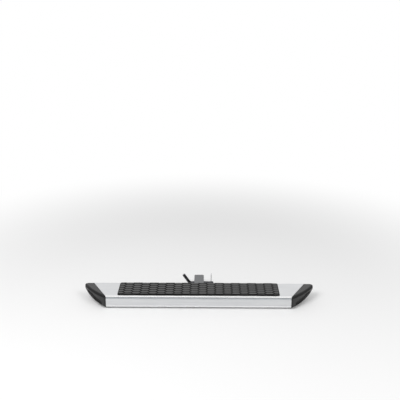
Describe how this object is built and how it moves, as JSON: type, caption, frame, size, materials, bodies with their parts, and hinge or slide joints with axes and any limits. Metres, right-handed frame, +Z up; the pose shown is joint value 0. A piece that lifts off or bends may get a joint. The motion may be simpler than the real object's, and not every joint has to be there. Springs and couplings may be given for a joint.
{
  "type": "hitch receiver step",
  "caption": "Straight hitch step: a mitred aluminium board with black end caps and a honeycomb tread pad, bolted to a square receiver shank with a bent hitch pin and hairpin clip.",
  "frame": {"origin": "on the shank's axis, at the centre of its pin hole", "axes": "+X along the board to the right as a person faces the vehicle, +Y along the shank toward the vehicle, +Z up"},
  "size_m": [1.181, 0.287, 0.0784],
  "materials": {
    "board_aluminium": "satin anodised, with fine lines along the extrusion",
    "tread_rubber": "matte moulded, fine grain",
    "cap_plastic": "satin moulded",
    "black_screw": "black coated",
    "bracket_steel": "black powder coat, fine texture",
    "zinc_fastener": "bright zinc plated",
    "pin_steel": "dark plated, satin",
    "clip_wire": "bright spring wire"
  },
  "bodies": {
    "step": {"step_board": "board_aluminium", "tread_pad": "tread_rubber", "end_cap_left": "cap_plastic", "end_cap_right": "cap_plastic", "end_cap_screws": "black_screw", "hitch_shank": "bracket_steel", "mounting_plate": "bracket_steel", "gusset_left": "bracket_steel", "gusset_right": "bracket_steel", "slot_bolts": "zinc_fastener", "flat_washers": "zinc_fastener", "lock_washers": "zinc_fastener", "hex_nuts": "zinc_fastener"},
    "pin": {"hitch_pin": "pin_steel"},
    "clip": {"hitch_pin_clip": "clip_wire"}
  },
  "joints": [
    {"name": "pin_slide", "type": "slide", "parent": "step", "child": "pin", "axis": [-1, 0, 0], "range_m": [-0.009, 0.036]},
    {"name": "clip_pull", "type": "slide", "parent": "pin", "child": "clip", "axis": [0, 0, 1], "range_m": [0, 0.06]}
  ]
}
